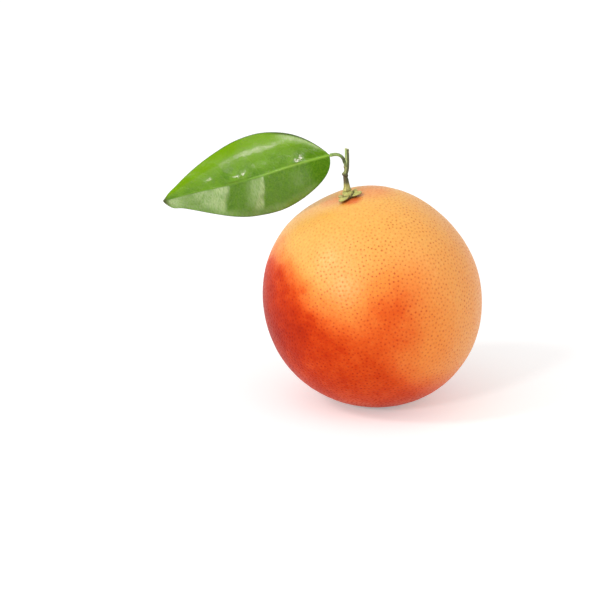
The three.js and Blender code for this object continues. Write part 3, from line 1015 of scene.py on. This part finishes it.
def blade_relief(u, v, vein, quilt, rib):
    """Height of the glossy face over the curled blade."""
    out = np.abs(v)
    width, room = blade_width(u, v)
    waves = 0.21 * np.sin(2 * math.pi * (5.5 * u - 0.75 * out)) * out * (1.2 - out)
    puckers = 0.045 * quilt * fade(0.02, 0.25, out) * fade(1.05, 0.55, out) * fade(1.0, 0.8, u)
    lumps = 0.08 * blade_noise(u, v, 20, 7.5, seed=42) * fade(0, 0.3, out)
    fold = -0.2 * bell(v, 0.16)
    relief = (waves + puckers + lumps + fold) * room + 0.30 * rib * (1 - 0.75 * u) - 0.015 * vein
    for at_u, at_v, height, long_radius, cross_radius in BLISTERS:
        side = (u - at_u - vein_path(out) + vein_path(abs(at_v))) * midrib.length / long_radius
        rise = (v - at_v) * width / cross_radius
        same_half = fade(0.0, 0.05, v * np.sign(at_v))
        relief += height * np.exp(-side ** 2 - rise ** 2) * same_half
    return relief


def sheet_faces(rows, columns):
    """Faces of a sheet with a front, a back and an edge, and each face's kind: 0, 1 and 0."""
    count = rows * columns
    front = grid_faces(rows, columns, closed=False)
    ids = np.arange(count).reshape(rows, columns)
    border = np.r_[ids[:, 0], ids[-1, 1:], ids[::-1, -1][1:], ids[0, ::-1][1:-1]]
    after = np.roll(border, -1)
    edge = np.stack([border, after, after + count, border + count], axis=1)
    kinds = np.repeat([0, 1, 0], [len(front), len(front), len(edge)])
    return np.vstack([front, front[:, ::-1] + count, edge]), kinds


def make_blade():
    rows, columns = 300, 133
    # Rows crowd towards both ends, and columns towards the midrib.
    stations = np.linspace(0, 1, rows)
    stations -= 0.55 * np.sin(2 * math.pi * stations) / (2 * math.pi)
    lanes = np.linspace(-1, 1, columns)
    u, v = np.meshgrid(stations, np.sign(lanes) * np.abs(lanes) ** 1.12, indexing="ij")
    vein, quilt = side_veins(u, v)
    rib = np.exp(-(v * blade_width(u, v)[0] / (0.60 - 0.36 * u)) ** 2)
    relief = blade_relief(u, v, vein, quilt, rib)
    rim = np.sqrt(np.clip(1 - np.abs(v) ** 24, 0, 1)) * np.sqrt(np.clip(1 - (2 * u - 1) ** 60, 0, 1))
    half = 0.5 * BLADE_THICKNESS * (0.2 + 0.8 * rim)
    # The midrib stands out on the underside, which is otherwise the same surface.
    back_relief = relief - half - 0.05 * vein - 0.75 * rib * (1 - 0.7 * u)
    points = np.vstack([blade_surface(u, v, relief + half), blade_surface(u, v, back_relief)])
    marks = {"along": u, "across": v, "vein": vein, "rib": rib, "painted_sheen": blade_painted_sheen(u, v)}
    attributes = {label: np.tile(mark.ravel(), 2) for label, mark in marks.items()}
    faces, kinds = sheet_faces(rows, columns)
    materials = [leaf_face_material(), leaf_underside_material()]
    piece = make_piece("leaf", points, faces, attributes, materials, kinds)
    mend(piece)
    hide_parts("leaf_blade")
    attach(piece, "root")


make_fruit()
make_calyx()
make_twig()
make_stalk()
make_blade()


# ---- Stage, light and camera ----

FLOOR_WHITE = (0.86, 0.86, 0.86, 1)
FLOOR_GLOW = 0.32
WORLD_LIGHT = 0.65
LAMP_DISTANCE = 3.0
CAMERA_ELEVATION = 18
CAMERA_DISTANCE = 1.2
CAMERA_AIM = (-0.03475, 0, -0.00071)  # from the fruit's middle


def seen(s):
    """1 for what the camera sees, straight, mirrored or through something clear. 0 for other light."""
    rays = s.node("LightPath").outputs
    return s.larger(rays["Is Camera Ray"], s.larger(rays["Is Glossy Ray"], rays["Is Transmission Ray"]))


def make_floor():
    mesh = bpy.data.meshes.new("floor")
    side = 6.0
    corners = [(-side, -side, 0), (side, -side, 0), (side, side, 0), (-side, side, 0)]
    mesh.from_pydata(corners, [], [(0, 1, 2, 3)])
    s = Shader(bpy.data.materials.new("floor_white"), "OutputMaterial")
    lit = s.node("BsdfDiffuse", Color=FLOOR_WHITE).outputs[0]
    glow = s.node("Emission", Strength=s.times(seen(s), FLOOR_GLOW)).outputs[0]
    mesh.materials.append(s.surface(s.node("AddShader", lit, glow).outputs[0]))
    floor = add_object("floor", mesh)


def make_world():
    s = Shader(bpy.data.worlds.new("studio"), "OutputWorld")
    strength = s.node("MapRange", Value=seen(s), To_Min=WORLD_LIGHT).outputs[0]
    background = s.node("Background", Color=(1, 1, 1, 1), Strength=strength).outputs[0]
    bpy.context.scene.world = s.surface(background)


def softbox(name, start, end, across, share):
    """A soft light as a strip between two directions, across degrees wide. share is the part of the light
    at which colours render as written that it gives a surface facing it."""
    start, end = Vector(unit(start)), Vector(unit(end))
    away = (start + end).normalized()
    lamp = bpy.data.lights.new(name, "AREA")
    lamp.shape = "RECTANGLE"
    lamp.size = 2 * LAMP_DISTANCE * math.tan(math.radians(across) / 2)
    lamp.size_y = 2 * LAMP_DISTANCE * math.tan(start.angle(end) / 2)
    lamp.energy = share * (math.pi * LAMP_DISTANCE) ** 2
    short_side = (start - end).normalized().cross(away).normalized()
    turn = Matrix((short_side, away.cross(short_side), away)).transposed()
    holder = add_object(name, lamp)
    holder.matrix_world = Matrix.Translation(Vector(middle * MM) + away * LAMP_DISTANCE) @ turn.to_4x4()
    holder.visible_camera = False


def make_camera():
    camera = bpy.data.cameras.new("camera")
    camera.lens = 150
    camera.sensor_width = 36
    camera.clip_start = 0.01
    holder = add_object("camera", camera)
    outward = Vector((0, -cosine(CAMERA_ELEVATION), sine(CAMERA_ELEVATION)))
    holder.location = Vector(middle * MM) + Vector(CAMERA_AIM) + outward * CAMERA_DISTANCE
    holder.rotation_euler = outward.to_track_quat("Z", "Y").to_euler()
    bpy.context.scene.camera = holder


make_floor()
make_world()
softbox("key_light", (-0.69, -0.26, 0.68), (-0.665, -0.38, 0.64), 14, 0.20)
softbox("broad_light", (-0.45, -0.05, 0.89), (-0.22, -0.60, 0.77), 30, 0.08)
softbox("front_light", (-0.535, -0.72, 0.445), (-0.465, -0.805, 0.365), 8, 0.24)
softbox("fill_light", (0.90, -0.25, 0.35), (0.45, -0.75, 0.55), 50, 0.14)
make_camera()
bpy.context.scene.view_settings.view_transform = "Standard"
